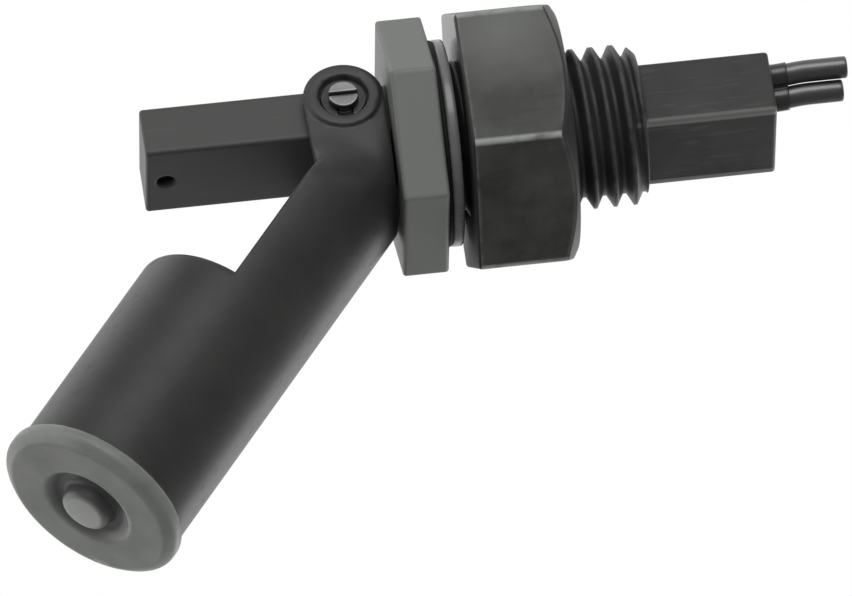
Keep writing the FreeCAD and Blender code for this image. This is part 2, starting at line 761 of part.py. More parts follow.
BLADE_Z = ("lane_rise - blade_wide / 2", "lane_rise + blade_wide / 2")
front_blade = block(
    "front_blade", (REED_FRONT + " + reed_seal", REED_MIDDLE + " + reed_overlap / 2"),
    (REED_Y + " - reed_gap / 2 - blade_thick", REED_Y + " - reed_gap / 2"), BLADE_Z,
)
rear_blade = block(
    "rear_blade", (REED_MIDDLE + " - reed_overlap / 2", SEAL_REAR),
    (REED_Y + " + reed_gap / 2", REED_Y + " + reed_gap / 2 + blade_thick"), BLADE_Z,
)
keep("front_reed_blade", fuse("front_contact", [front_blade, front_tail]))
keep("rear_reed_blade", fuse("rear_contact", [rear_blade, rear_tail]))


# --- leads: a wire in a jacket for each blade, crimped and sleeved at the joint -

def eased_path(stations):
    """Edges through the stations: straight along X, or two tangent arcs that start and end along X."""
    edges = []
    for here, there in zip(stations, stations[1:]):
        step = there - here
        run = step.x
        aside = step - X_AXIS * run
        if aside.Length < SAME:
            edges.append(Part.makeLine(here, there))
            continue
        radius = (run ** 2 + aside.Length ** 2) / (4 * aside.Length)
        turn = math.atan2(aside.Length, run)
        quarter = X_AXIS * radius * math.sin(turn) + aside.normalize() * radius * (1 - math.cos(turn))
        middle = (here + there) / 2
        edges.append(Part.Arc(here, here + quarter, middle).toShape())
        edges.append(Part.Arc(middle, there - quarter, there).toShape())
    return edges


def lead_stations(start, lane, bend, mouth, lift, finish):
    """A lead's stations: its lane in the bore, the cup's mouth, and its free end, a little further out."""
    before_mouth = size("rear_reach") - size("lead_mouth_run")
    past_mouth = size("rear_reach") + size("lead_rise_run")
    return [
        Vector(start, lane, lane_z),
        Vector(bend, lane, lane_z),
        X_AXIS * before_mouth + mouth,
        X_AXIS * size("rear_reach") + mouth,
        X_AXIS * past_mouth + mouth + lift,
        X_AXIS * finish + mouth + lift,
    ]


# Seen along the thread: the near lead leaves highest, and the far one lies under it, leaning inwards.
outwards = Rotation(X_AXIS, size("lead_lean_angle")).multVec(Z_AXIS)
core_radius = size("thread_dia") / 2 - size("thread_depth") - size("rear_inset")
rear_half = math.sqrt(core_radius ** 2 - (size("rear_drop") + size("rear_high") / 2) ** 2)
exit_side = rear_half - size("cup_wall") - size("lead_side_gap") - size("lead_dia") / 2
near_mouth = Vector(0, -exit_side, size("lead_exit_rise") - size("rear_drop"))
far_mouth = near_mouth - outwards * size("lead_pitch")
near_joint = reed_front + size("reed_length") + size("rear_tail")
near_bend = size("cup_floor") - size("near_bend_early")
far_bend = size("cup_floor")
lift = outwards * size("lead_lift")
near_start = near_joint + size("wire_bare")
far_start = far_joint + size("wire_bare")
near_path = lead_stations(near_start, -lane_y, near_bend, near_mouth, lift, size("lead_end"))
far_end = size("lead_end") - size("lead_stagger")
far_path = lead_stations(far_start, lane_y, far_bend, far_mouth, lift, far_end)
jackets = []
collars = []
sleeves = []
LEADS = (("near", near_path, NEAR_JOINT, "-lane"), ("far", far_path, FAR_JOINT, "lane"))
for side, stations, JOINT, LANE in LEADS:
    path = eased_path(stations)
    jacket = swept_round(side + "_jacket_round", path, size("lead_dia") / 2)
    bare = Part.makeLine(stations[0] - X_AXIS * size("wire_bare"), stations[0])
    wire = swept_round(side + "_wire_round", [bare] + path, size("wire_dia") / 2)
    keep(side + "_lead_wire", wire)
    keep(side + "_lead_jacket", combine("Cut", side + "_jacket", jacket, wire))
    jackets.append(jacket)
    collars.append(swept_round(side + "_collar", path, size("lead_dia") / 2 + size("collar_wall")))

    CRIMP = (JOINT + " - crimp_length / 2", JOINT + " + crimp_length / 2")
    SLEEVE = (CRIMP[0], JOINT + " + wire_bare + sleeve_lap")
    SLEEVE_RADIUS = "(lead_dia / 2 + sleeve_wall)"
    round_tube(side + "_crimp", "wire_dia / 2", "crimp_dia / 2", CRIMP[0], CRIMP[1], LANE, "lane_rise")
    round_tube(side + "_joint_sleeve", "lead_dia / 2", SLEEVE_RADIUS, SLEEVE[0], SLEEVE[1], LANE, "lane_rise")
    sleeves.append(helper_bar(side + "_sleeve_round", SLEEVE_RADIUS, SLEEVE[0], SLEEVE[1], LANE, "lane_rise"))


# --- potting: a core in the bore, and a plug that fills the cup ----------------

BORE_SIDES = ("-bore_wide / 2", "bore_wide / 2")
core_block = block("core_block", (BORE_TIP, "cup_floor"), BORE_SIDES, (BORE_LOW, BORE_TOP))
glass_round = helper_bar("glass_round", "reed_dia / 2", REED_FRONT, REED_REAR, REED_Y, "lane_rise")
cushion_round = helper_bar("cushion_round", "cushion_dia / 2", *CUSHION, REED_Y, "lane_rise")
potted = fuse("potted_pieces", [glass_round, cushion_round, front_tail, rear_tail] + sleeves + jackets)
keep("potting_core", combine("Cut", "core", core_block, potted))

cup_block = block("cup_block", ("cup_floor", "rear_reach"), ("-" + CUP_HALF, CUP_HALF), (CUP_LOW, CUP_TOP))
COLLAR_END = "rear_reach + collar_reach"
WIDE = ("-rear_high", "rear_high")
slab = block("collar_slab", ("rear_reach", COLLAR_END), WIDE, WIDE)
collar = combine("Common", "collar", fuse("collar_rounds", collars), slab)
plug_whole = fuse("plug_whole", [cup_block, collar])
keep("potting_plug", combine("Cut", "plug_cut", plug_whole, fuse("both_leads", jackets)))


# --- write every sub-part ------------------------------------------------------

doc.recompute()
for item in doc.Objects:
    if "Invalid" in item.State or "Error" in item.State:
        raise ValueError("%s failed" % item.Label)
for node, item in subparts.items():
    if item.Shape.isNull() or not item.Shape.isValid():
        raise ValueError("%s has no valid shape" % node)
for node, item in subparts.items():
    item.Shape.exportStep("parts/%s.step" % node)
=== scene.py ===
import math
import bmesh
import bpy
from mathutils import Matrix, Vector


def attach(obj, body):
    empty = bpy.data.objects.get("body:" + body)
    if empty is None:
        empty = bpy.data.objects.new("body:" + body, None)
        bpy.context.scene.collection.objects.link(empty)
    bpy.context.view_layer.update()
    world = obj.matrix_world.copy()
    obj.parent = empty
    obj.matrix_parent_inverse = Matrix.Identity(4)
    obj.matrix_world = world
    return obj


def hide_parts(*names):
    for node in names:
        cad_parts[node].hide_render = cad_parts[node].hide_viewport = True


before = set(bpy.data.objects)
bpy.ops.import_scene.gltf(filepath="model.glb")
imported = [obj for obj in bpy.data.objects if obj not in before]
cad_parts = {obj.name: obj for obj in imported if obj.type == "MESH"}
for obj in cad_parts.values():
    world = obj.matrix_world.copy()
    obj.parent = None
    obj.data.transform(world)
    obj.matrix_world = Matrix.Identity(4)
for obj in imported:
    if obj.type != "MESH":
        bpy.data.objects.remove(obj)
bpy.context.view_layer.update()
scene = bpy.context.scene
scene.view_settings.view_transform = "Standard"
mm = 0.001

# --- Camera: a long lens from below and in front, as the switch was photographed.
# Its three axes and its place were solved from the thread, the flange and the float.
lens_right = Vector((0.991231, -0.007475, -0.131925))
lens_up = Vector((0.102466, -0.586913, 0.803140))
lens_back = Vector((-0.083432, -0.809615, -0.581001))
lens_place = Vector((-0.15650, -1.48603, -1.08495))

camera = bpy.data.objects.new("camera", bpy.data.cameras.new("camera"))
camera.data.lens = 788
camera.data.sensor_width = 36
camera.data.clip_end = 30
lens_turn = Matrix((lens_right, lens_up, lens_back)).transposed().to_4x4()
camera.matrix_world = Matrix.Translation(lens_place) @ lens_turn
scene.collection.objects.link(camera)
scene.camera = camera


# --- Studio: a white room with five wide soft lamps, one above the lens, one at its left,
# and three behind the switch that light its edges from above and below.
def add_node(tree, kind, inputs=(), **settings):
    """Add a shader node with its settings, and fill or link its inputs."""
    item = tree.nodes.new("ShaderNode" + kind)
    for name, value in settings.items():
        setattr(item, name, value)
    for socket, value in dict(inputs).items():
        if isinstance(value, bpy.types.NodeSocket):
            tree.links.new(value, item.inputs[socket])
        else:
            item.inputs[socket].default_value = value
    return item


def add_math(tree, operation, first, second=0.0):
    return add_node(tree, "Math", {0: first, 1: second}, operation=operation).outputs[0]


room_light = 0.08
room = bpy.data.worlds.new("white_room")
scene.world = room
room.use_nodes = True
room.node_tree.nodes.clear()
ray = add_node(room.node_tree, "LightPath").outputs
mirrored = add_math(room.node_tree, "MAXIMUM", ray["Is Glossy Ray"], ray["Is Transmission Ray"])
seen = add_math(room.node_tree, "MAXIMUM", ray["Is Camera Ray"], mirrored)
soft = add_node(room.node_tree, "Background", {"Strength": room_light})
soft.inputs["Color"].default_value = (1, 1, 1, 1)
white = add_node(room.node_tree, "Background", {"Strength": 1.0})
white.inputs["Color"].default_value = (1, 1, 1, 1)
either = add_node(room.node_tree, "MixShader", {0: seen, 1: soft.outputs[0], 2: white.outputs[0]})
add_node(room.node_tree, "OutputWorld", {"Surface": either.outputs[0]})


lamp_width = math.radians(50)


def hang_lamp(name, right, up, back, strength):
    """A wide far lamp, placed by the camera's axes."""
    lamp = bpy.data.objects.new(name, bpy.data.lights.new(name, "SUN"))
    towards = lens_right * right + lens_up * up + lens_back * back
    lamp.matrix_world = towards.to_track_quat("Z", "Y").to_matrix().to_4x4()
    lamp.data.energy = strength
    lamp.data.angle = lamp_width
    scene.collection.objects.link(lamp)


hang_lamp("lamp_above_lens", 0.0, 0.70, 0.70, 1.97)
hang_lamp("lamp_left", -1.0, 0.0, 0.0, 1.28)
hang_lamp("lamp_high_left", -0.6, 0.6, -0.5, 0.5)
hang_lamp("lamp_low_left", -0.6, -0.6, -0.5, 0.76)
hang_lamp("lamp_low_right", 0.6, -0.6, -0.5, 1.88)

# --- Floor: a pale table under the hanging float. Seen from below, as the lens sees
# it, the table lets the view and the light through, and from above it holds the shadow.
floor_size = 3.0
floor_drop = 0.075
floor_mesh = bmesh.new()
bmesh.ops.create_grid(floor_mesh, x_segments=1, y_segments=1, size=floor_size)
bmesh.ops.translate(floor_mesh, verts=floor_mesh.verts, vec=(0, 0, -floor_drop))
floor = bpy.data.objects.new("floor", bpy.data.meshes.new("floor"))
floor_mesh.to_mesh(floor.data)
floor_mesh.free()
scene.collection.objects.link(floor)

floor_paint = bpy.data.materials.new("pale_floor")
floor_paint.use_nodes = True
tree = floor_paint.node_tree
tree.nodes.clear()
under = add_node(tree, "NewGeometry").outputs["Backfacing"]
shadow = add_node(tree, "LightPath").outputs["Is Shadow Ray"]
floor_place = add_node(tree, "TexCoord").outputs["Object"]
speckle = add_node(tree, "TexNoise", {"Vector": floor_place, "Scale": 6.0})
pale = add_node(tree, "Mix", {0: speckle.outputs[0], 6: (0.80, 0.80, 0.80, 1), 7: (0.84, 0.84, 0.84, 1)},
                data_type="RGBA")
paint = add_node(tree, "BsdfDiffuse", {"Color": pale.outputs[2]})
glow = add_node(tree, "Emission", {"Strength": 0.3})
lit = add_node(tree, "AddShader", {0: paint.outputs[0], 1: glow.outputs[0]})
from_lens = add_node(tree, "LightPath").outputs["Is Camera Ray"]
direct = add_node(tree, "MixShader", {0: from_lens, 1: paint.outputs[0], 2: lit.outputs[0]})
clear = add_node(tree, "BsdfTransparent")
through = add_math(tree, "MAXIMUM", under, shadow)
surface = add_node(tree, "MixShader", {0: through, 1: direct.outputs[0], 2: clear.outputs[0]})
add_node(tree, "OutputMaterial", {"Surface": surface.outputs[0]})
floor.data.materials.append(floor_paint)


# --- Switch body: stem, flange, thread and cable end moulded in one from carbon-black
# polypropylene. The flange is coloured paler than the rest, and the stem a little paler.
def new_effect(name, inputs, outputs):
    """A node group that takes numbers and gives masks, heights or normals."""
    group = bpy.data.node_groups.new(name, "ShaderNodeTree")
    for label, value in inputs.items():
        socket = group.interface.new_socket(label, in_out="INPUT", socket_type="NodeSocketFloat")
        socket.default_value = value
    for label, kind in outputs.items():
        group.interface.new_socket(label, in_out="OUTPUT", socket_type="NodeSocket" + kind)
    return group, group.nodes.new("NodeGroupInput"), group.nodes.new("NodeGroupOutput")


# Grain: the mould's fine texture, slow cloudy patches and thin rubbed streaks.
grain, given, made = new_effect("moulded_grain", {"Fineness": 5000.0, "Patches": 160.0},
                                {"Height": "Float", "Cloud": "Float", "Streak": "Float"})
place = add_node(grain, "TexCoord").outputs["Object"]
fine = add_node(grain, "TexNoise", {"Vector": place, "Scale": given.outputs["Fineness"], "Detail": 2.0})
broad = add_node(grain, "TexNoise", {"Vector": place, "Scale": given.outputs["Patches"],
                                     "Detail": 5.0, "Roughness": 0.6})
cloud = add_node(grain, "MapRange", {"Value": broad.outputs[0], 1: 0.35, 2: 0.68})
drawn = add_node(grain, "Mapping", {"Vector": place, "Scale": (0.12, 1.0, 1.0), "Rotation": (0.0, 0.3, 0.2)})
thin = add_node(grain, "TexNoise", {"Vector": drawn.outputs[0], "Scale": 1800.0, "Detail": 3.0})
streak = add_node(grain, "MapRange", {"Value": thin.outputs[0], 1: 0.58, 2: 0.72})
for label, source in (("Height", fine), ("Cloud", cloud), ("Streak", streak)):
    grain.links.new(source.outputs[0], made.inputs[label])

# Rubbed edge: a mask along the outer corners, where the plastic is thin within reach and so
# gets rubbed, broken up in spots, and the normal of a slightly rounded corner.
rubbed, given, made = new_effect("rubbed_edge", {"Reach": 0.0005, "Breaks": 700.0},
                                 {"Mask": "Float", "Normal": "Vector"})
round_over = add_node(rubbed, "Bevel", {"Radius": given.outputs["Reach"]}, samples=8)
thin = add_node(rubbed, "AmbientOcclusion", {"Distance": given.outputs["Reach"]},
                samples=8, inside=True, only_local=True)
corner = add_node(rubbed, "MapRange", {"Value": thin.outputs["AO"], 1: 0.95, 2: 0.78})
place = add_node(rubbed, "TexCoord").outputs["Object"]
spots = add_node(rubbed, "TexNoise", {"Vector": place, "Scale": given.outputs["Breaks"], "Detail": 4.0})
spotty = add_node(rubbed, "MapRange", {"Value": spots.outputs[0], 1: 0.3, 2: 0.6})
rubbed.links.new(add_math(rubbed, "MULTIPLY", corner.outputs[0], spotty.outputs[0]), made.inputs["Mask"])
rubbed.links.new(round_over.outputs[0], made.inputs["Normal"])


def tint(tree, mask, under, over):
    """Lay a colour over another by a mask."""
    return add_node(tree, "Mix", {0: mask, 6: under, 7: (*over, 1)}, data_type="RGBA").outputs[2]


def ramp(tree, value, start, end):
    """A mask that goes from 0 at one value to 1 at another."""
    return add_node(tree, "MapRange", {"Value": value, 1: start, 2: end}).outputs[0]


def new_finish(name, dark, pale, roughness, bump, fineness=5000.0, patches=160.0, rub=0.0, reach=0.0005,
               **shader_values):
    """A material whose colour drifts between two shades, with rubbed corners and a fine texture."""
    material = bpy.data.materials.new(name)
    material.use_nodes = True
    tree = material.node_tree
    tree.nodes.clear()
    skin = add_node(tree, "Group", {"Fineness": fineness, "Patches": patches}, node_tree=grain)
    edge = add_node(tree, "Group", {"Reach": reach}, node_tree=rubbed)
    cloudy = tint(tree, skin.outputs["Cloud"], (*dark, 1), pale)
    worn = [min(1.0, shade * 2.2 + 0.01) for shade in pale]
    colour = tint(tree, add_math(tree, "MULTIPLY", edge.outputs["Mask"], rub), cloudy, worn)
    matt = add_node(tree, "MapRange", {"Value": skin.outputs["Streak"], 3: roughness[0], 4: roughness[1]})
    texture = add_node(tree, "Bump", {"Height": skin.outputs["Height"], "Distance": bump,
                                      "Normal": edge.outputs["Normal"]})
    shader = add_node(tree, "BsdfPrincipled", {"Base Color": colour, "Roughness": matt.outputs[0],
                                               "Normal": texture.outputs[0]})
    for socket, value in shader_values.items():
        shader.inputs[socket.replace("_", " ")].default_value = value
    add_node(tree, "OutputMaterial", {"Surface": shader.outputs[0]})
    return material


def open_finish(material):
    """A finish's tree, its shader, and the object's own coordinates, for one more layer of colour."""
    tree = material.node_tree
    shader = next(item for item in tree.nodes if item.type == "BSDF_PRINCIPLED")
    return tree, shader, shader.inputs["Base Color"].links[0].from_socket, add_node(tree, "TexCoord").outputs


def from_point(tree, place, point):
    """How far a place is from a point."""
    return add_node(tree, "VectorMath", {0: place, 1: point}, operation="DISTANCE").outputs["Value"]


def from_line(tree, place):
    """How far a place is from the line of the X axis."""
    across = add_node(tree, "VectorMath", {0: place, 1: (0, 1, 1)}, operation="MULTIPLY").outputs[0]
    return add_node(tree, "VectorMath", {0: across}, operation="LENGTH").outputs["Value"]


def paint_node(node, material):
    """Give a carried-over CAD solid its finish."""
    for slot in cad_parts[node].material_slots:
        slot.material = material


body_dark = (0.020, 0.021, 0.020)
body_pale = (0.034, 0.036, 0.034)
flange_skin = (0.170, 0.178, 0.169)
stem_skin = (0.058, 0.060, 0.057)
rear_corner_highlight = (0.150, 0.156, 0.148)
drag_pale, drag_share = (0.085, 0.088, 0.084), 0.45
# Where along the body each skin starts and where it is full, and how far the painted highlight on a rear
# corner goes.
stem_start, stem_full = -2.0 * mm, -6.0 * mm
smooth_start, smooth_full = -6.0 * mm, -7.0 * mm
flange_start, flange_full = -5.0 * mm, -4.2 * mm
flange_end, flange_gone = -0.3 * mm, 0.3 * mm
rear_start, rear_full = 18.4 * mm, 18.8 * mm
rear_half, rear_low = 5.316 * mm, 3.895 * mm
corner_middle, corner_core, corner_reach = rear_half - 0.35 * mm, 0.35 * mm, 0.60 * mm
body_finish = new_finish("body_polypropylene", body_dark, body_pale, (0.42, 0.55), 0.006 * mm, rub=0.5,
                         Specular_IOR_Level=0.2)
tree, shader, colour, place = open_finish(body_finish)
depth = add_node(tree, "SeparateXYZ", {0: place["Object"]}).outputs["X"]
front, rear = ramp(tree, depth, flange_start, flange_full), ramp(tree, depth, flange_gone, flange_end)
colour = tint(tree, ramp(tree, depth, stem_start, stem_full), colour, stem_skin)
colour = tint(tree, add_math(tree, "MULTIPLY", front, rear), colour, flange_skin)
behind = ramp(tree, depth, rear_start, rear_full)
smooth_ends = add_math(tree, "MAXIMUM", behind, ramp(tree, depth, smooth_start, smooth_full))
drag = add_node(tree, "Group", {"Fineness": 1200.0, "Patches": 160.0}, node_tree=grain).outputs["Streak"]
dragged = add_math(tree, "MULTIPLY", add_math(tree, "MULTIPLY", drag, smooth_ends), drag_share)
colour = tint(tree, dragged, colour, drag_pale)
mirrored_place = add_node(tree, "VectorMath", {0: place["Object"]}, operation="ABSOLUTE").outputs[0]
beside = add_node(tree, "VectorMath", {0: mirrored_place, 1: (0, 1, 1)}, operation="MULTIPLY").outputs[0]
corner_gap = from_point(tree, beside, (0, corner_middle, rear_low))
at_corner = ramp(tree, corner_gap, corner_reach, corner_core)
# The rear body's long corners are painted pale: a painted highlight, with some rub.
colour = tint(tree, add_math(tree, "MULTIPLY", behind, at_corner), colour, rear_corner_highlight)
tree.links.new(colour, shader.inputs["Base Color"])
paint_node("switch_body", body_finish)

# --- Potting: black casting resin that fills the bore and the cable end's cup, with a
# small raised collar round each lead where it crept up before it set.
resin_dark = (0.010, 0.010, 0.010)
resin_pale = (0.022, 0.022, 0.021)
resin_finish = new_finish("casting_resin", resin_dark, resin_pale, (0.22, 0.34), 0.01 * mm, fineness=900.0,
                          Specular_IOR_Level=0.5)
paint_node("potting_core", resin_finish)
paint_node("potting_plug", resin_finish)


# --- Leads: two stranded copper wires in glossy black vinyl jackets, cut off square a
# few millimetres past the resin. The jackets' cut rims are slightly rounded.
def place_piece(name, mesh, body, slot, material, *stands_for):
    """Turn a finished bmesh into a piece of the switch."""
    mesh.normal_update()
    data = bpy.data.meshes.new(name)
    mesh.to_mesh(data)
    mesh.free()
    data.shade_smooth()
    data.set_sharp_from_angle(angle=math.radians(32))
    piece = bpy.data.objects.new(name, data)
    scene.collection.objects.link(piece)
    flats = piece.modifiers.new("flats_stay_flat", "WEIGHTED_NORMAL")
    flats.keep_sharp = True
    data.materials.append(material)
    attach(piece, body)
    if stands_for:
        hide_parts(*stands_for)
    return piece


joined = 0.001 * mm


def merged_copy(node):
    """A CAD solid's mesh as whole faces, to be worked on."""
    mesh = bmesh.new()
    mesh.from_mesh(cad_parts[node].data)
    bmesh.ops.remove_doubles(mesh, verts=mesh.verts, dist=joined)
    bmesh.ops.dissolve_limit(mesh, angle_limit=math.radians(0.5), verts=mesh.verts, edges=mesh.edges)
    return mesh


def round_edges(mesh, reach, sharper_than=35, steps=3, wanted=lambda edge: True):
    """Round the sharp edges that pass the test."""
    edges = [edge for edge in mesh.edges if edge.is_manifold and wanted(edge)
             and edge.calc_face_angle() > math.radians(sharper_than)]
    bmesh.ops.bevel(mesh, geom=edges, offset=reach, offset_type="OFFSET", segments=steps, profile=0.5,
                    affect="EDGES", material=-1, clamp_overlap=True)
    bmesh.ops.remove_doubles(mesh, verts=mesh.verts, dist=joined)
    bmesh.ops.recalc_face_normals(mesh, faces=mesh.faces)
    return mesh


jacket_rim = 0.22 * mm
strand_radius = 0.165 * mm
strand_bow = 0.03 * mm
strand_length = 0.6 * mm
strand_rim = 0.05 * mm
lead_ends = {"near": (41.35 * mm, -3.513 * mm, 1.712 * mm), "far": (40.75 * mm, -2.184 * mm, -0.116 * mm)}
vinyl = new_finish("black_vinyl", (0.010, 0.010, 0.011), (0.016, 0.016, 0.017), (0.30, 0.38), 0.004 * mm,
                   fineness=2500.0, Specular_IOR_Level=0.95)
copper = new_finish("bare_copper", (0.62, 0.26, 0.13), (0.75, 0.36, 0.20), (0.25, 0.40), 0.003 * mm,
                    Metallic=1.0)
along_lead = Matrix.Rotation(math.radians(90), 4, "Y")
for side, end in lead_ends.items():
    jacket = round_edges(merged_copy(side + "_lead_jacket"), jacket_rim)
    place_piece(side + "_jacket", jacket, "switch", "jacket_plastic", vinyl, side + "_lead_jacket")
    paint_node(side + "_lead_wire", copper)

    strands = bmesh.new()
    for k in range(7):
        turn = Matrix.Rotation(math.radians(60 * k), 4, "X")
        out = turn @ Vector((0, 0, 0 if k == 6 else 2 * strand_radius))
        tip = bmesh.ops.create_cone(strands, cap_ends=True, segments=16, radius1=strand_radius,
                                    radius2=strand_radius, depth=strand_length,
                                    matrix=Matrix.Translation(Vector(end) + out) @ along_lead)
        bmesh.ops.translate(strands, verts=tip["verts"], vec=(strand_bow - strand_length / 2, 0, 0))
    rims = [edge for edge in strands.edges if edge.calc_face_angle() > math.radians(60)]
    bmesh.ops.bevel(strands, geom=rims, offset=strand_rim, offset_type="OFFSET", segments=2, profile=0.5,
                    affect="EDGES", material=-1, clamp_overlap=True)
    place_piece(side + "_cut_strands", strands, "switch", "wire_copper", copper)

# --- Reed contact: two nickel-iron blades sealed in a glass tube inside a soft sleeve,
# crimped to the leads under insulating tubes. All of it is buried in the resin.
glass = new_finish("reed_glass", (0.75, 0.82, 0.76), (0.80, 0.86, 0.80), (0.03, 0.08), 0.001 * mm,
                   patches=300.0, Transmission_Weight=0.9, IOR=1.5)
blade = new_finish("nickel_iron", (0.50, 0.48, 0.45), (0.62, 0.60, 0.57), (0.22, 0.36), 0.002 * mm,
                   Metallic=1.0)
cushion = new_finish("cushion_rubber", (0.05, 0.05, 0.05), (0.08, 0.08, 0.08), (0.7, 0.85), 0.01 * mm,
                     fineness=3000.0)
tinned = new_finish("tinned_crimp", (0.55, 0.55, 0.54), (0.66, 0.66, 0.65), (0.30, 0.45), 0.003 * mm,
                    Metallic=1.0)
tube = new_finish("insulating_tube", (0.10, 0.02, 0.02), (0.16, 0.03, 0.03), (0.35, 0.5), 0.006 * mm)
paint_node("reed_glass", glass)
paint_node("front_reed_blade", blade)
paint_node("rear_reed_blade", blade)
paint_node("reed_cushion", cushion)
for side in ("near", "far"):
    paint_node(side + "_crimp", tinned)
    paint_node(side + "_joint_sleeve", tube)


# --- Sealing gasket: a black rubber ring with rounded edges that is squeezed between
# the flange and the tank wall.
def turned(outline, about, steps=120):
    """A body of revolution: (along, out) corners turned about an axis along X through a point."""
    mesh = bmesh.new()
    ring = [mesh.verts.new(about + Vector((along, -out, 0))) for along, out in outline]
    closed = outline[0][1] > 0
    pairs = zip(ring, ring[1:] + ring[:1]) if closed else zip(ring, ring[1:])
    edges = [mesh.edges.new(pair) for pair in pairs]
    bmesh.ops.spin(mesh, geom=ring + edges, cent=about, axis=(1, 0, 0), angle=math.tau, steps=steps,
                   use_merge=True)
    bmesh.ops.remove_doubles(mesh, verts=mesh.verts, dist=joined)
    bmesh.ops.recalc_face_normals(mesh, faces=mesh.faces)
    return mesh


def plain_ring(start, end):
    """A flat ring about the thread, with its edges rounded."""
    ring = turned([(start, ring_in), (start, ring_out), (end, ring_out), (end, ring_in)], Vector((0, 0, 0)))
    return round_edges(ring, ring_round)


ring_in, ring_out, ring_round = 8.15 * mm, 10.3 * mm, 0.2 * mm
gasket_thick = 0.55 * mm
rubber = new_finish("seal_rubber", (0.006, 0.006, 0.006), (0.010, 0.010, 0.010), (0.65, 0.80), 0.012 * mm,
                    fineness=3500.0, Specular_IOR_Level=0.15)
place_piece("gasket", plain_ring(0, gasket_thick), "switch", "gasket_rubber", rubber, "sealing_gasket")

# --- Flat washer: a hard, smooth plastic ring between the gasket and the nut, which
# slides along the thread.
washer_thick = 1.1 * mm
washer_finish = new_finish("washer_nylon", (0.110, 0.114, 0.110), (0.150, 0.155, 0.150), (0.24, 0.36),
                           0.003 * mm, Specular_IOR_Level=0.5)
washer = plain_ring(gasket_thick, gasket_thick + washer_thick)
place_piece("washer", washer, "washer", "washer_plastic", washer_finish, "flat_washer")

# --- Hexagon nut: moulded from the same plastic as the body, a little rubbed and
# cloudy on its faces, with a pale patch towards its top front.
nut_finish = new_finish("nut_polypropylene", (0.026, 0.027, 0.025), (0.075, 0.078, 0.073), (0.43, 0.49),
                        0.008 * mm, patches=110.0, rub=0.8, reach=0.0006, Specular_IOR_Level=0.2)
# A pale patch towards its top front, pale crests along its outer edges that are rub and painted highlight,
# and end faces painted dark as painted shade, of which the front one is more polished towards its top.
nut_patch_place, nut_patch_reach, nut_patch_share = (7.0 * mm, -12.6 * mm, 3.6 * mm), 7.5 * mm, 0.8
crest_start, crest_full = 14.36 * mm, 14.52 * mm
nut_patch_pale, nut_crest_highlight_and_rub, nut_end_shade = (0.156, 0.162, 0.154), (0.330, 0.340, 0.326), (0.018, 0.019, 0.018)
end_start, end_full = 0.25, 0.42
low, low_rough, high, high_rough = -8.0 * mm, 0.65, 4.0 * mm, 0.24
tree, shader, colour, place = open_finish(nut_finish)
near_nut_patch = ramp(tree, from_point(tree, place["Object"], nut_patch_place), nut_patch_reach, 0.0)
colour = tint(tree, add_math(tree, "MULTIPLY", near_nut_patch, nut_patch_share), colour, nut_patch_pale)
patchy = add_node(tree, "TexNoise", {"Vector": place["Object"], "Scale": 260.0, "Detail": 3.0}).outputs[0]
# Crests painted pale: rub and a painted highlight.
crest = ramp(tree, from_line(tree, place["Object"]), crest_start, crest_full)
colour = tint(tree, add_math(tree, "MULTIPLY", crest, ramp(tree, patchy, 0.30, 0.50)), colour, nut_crest_highlight_and_rub)
facing = add_node(tree, "SeparateXYZ", {0: place["Normal"]}).outputs["X"]
# End faces painted dark: painted shade.
colour = tint(tree, ramp(tree, add_math(tree, "ABSOLUTE", facing), end_start, end_full), colour, nut_end_shade)
tree.links.new(colour, shader.inputs["Base Color"])
height = add_node(tree, "SeparateXYZ", {0: place["Object"]}).outputs["Z"]
polish = add_node(tree, "MapRange", {"Value": height, 1: low, 2: high, 3: low_rough, 4: high_rough})
matt = shader.inputs["Roughness"].links[0].from_socket
glossed = add_node(tree, "MapRange", {"Value": ramp(tree, facing, -end_start, -end_full),
                                      3: matt, 4: polish.outputs[0]})
tree.links.new(glossed.outputs[0], shader.inputs["Roughness"])
paint_node("hex_nut", nut_finish)

# --- Float shell: drum, arm and two ears moulded in one, black and slightly satin. It
# is drawn hanging from the pivot.
float_finish = new_finish("float_polypropylene", (0.017, 0.018, 0.017), (0.027, 0.028, 0.026), (0.40, 0.50),
                          0.006 * mm, rub=0.4, Specular_IOR_Level=0.25)
ear_painted_light, ear_core, ear_reach = (0.036, 0.038, 0.036), 8.0 * mm, 15.0 * mm
pivot = Vector((-8.9 * mm, 0, 2.1 * mm))
droop = math.radians(52.5)
hang = Matrix.Translation(pivot) @ Matrix.Rotation(-droop, 4, "Y")
raise_up = hang.inverted()

# The ears are painted paler round the pivot: painted light.
tree, shader, colour, place = open_finish(float_finish)
near_ear_light = ramp(tree, from_point(tree, place["Object"], pivot), ear_reach, ear_core)
tree.links.new(tint(tree, near_ear_light, colour, ear_painted_light), shader.inputs["Base Color"])

shell = merged_copy("float_shell")
bmesh.ops.transform(shell, matrix=raise_up, verts=shell.verts)

# Where the arm's sides draw in to the ears the moulding has no crease, but a soft blend.
drum_radius, drum_middle = 9.15 * mm, -0.95 * mm
arm_top, ear_side = -2.45 * mm, 6.5 * mm
flare_start, flare_slope = -6.54 * mm, 2.65 / 2.6
side_skin, inner_half, arm_front = 1.0 * mm, 4.5 * mm, -14.0 * mm
side_blend, foot_blend, edge_round = 2.6 * mm, 1.0 * mm, 0.3 * mm
grid_start, grid_step, grid_lines = -12.0 * mm, 0.5 * mm, 25
on_surface = 0.03 * mm


def share(value):
    return min(1.0, max(0.0, value))


def larger(first, second, blend):
    """The larger of two lengths, with the corner between them eased over a blend."""
    lap = max(blend - abs(first - second), 0) / blend
    return max(first, second) + lap * lap * blend / 4


def arm_side(place, blend):
    """How far out the arm's side stands beside a place on the raised float."""
    widened = larger(ear_side, ear_side + (flare_start - place.x) * flare_slope, blend)
    rounded = math.sqrt(max(drum_radius ** 2 - (place.z - drum_middle) ** 2, 0))
    return -larger(-widened, -rounded, blend)


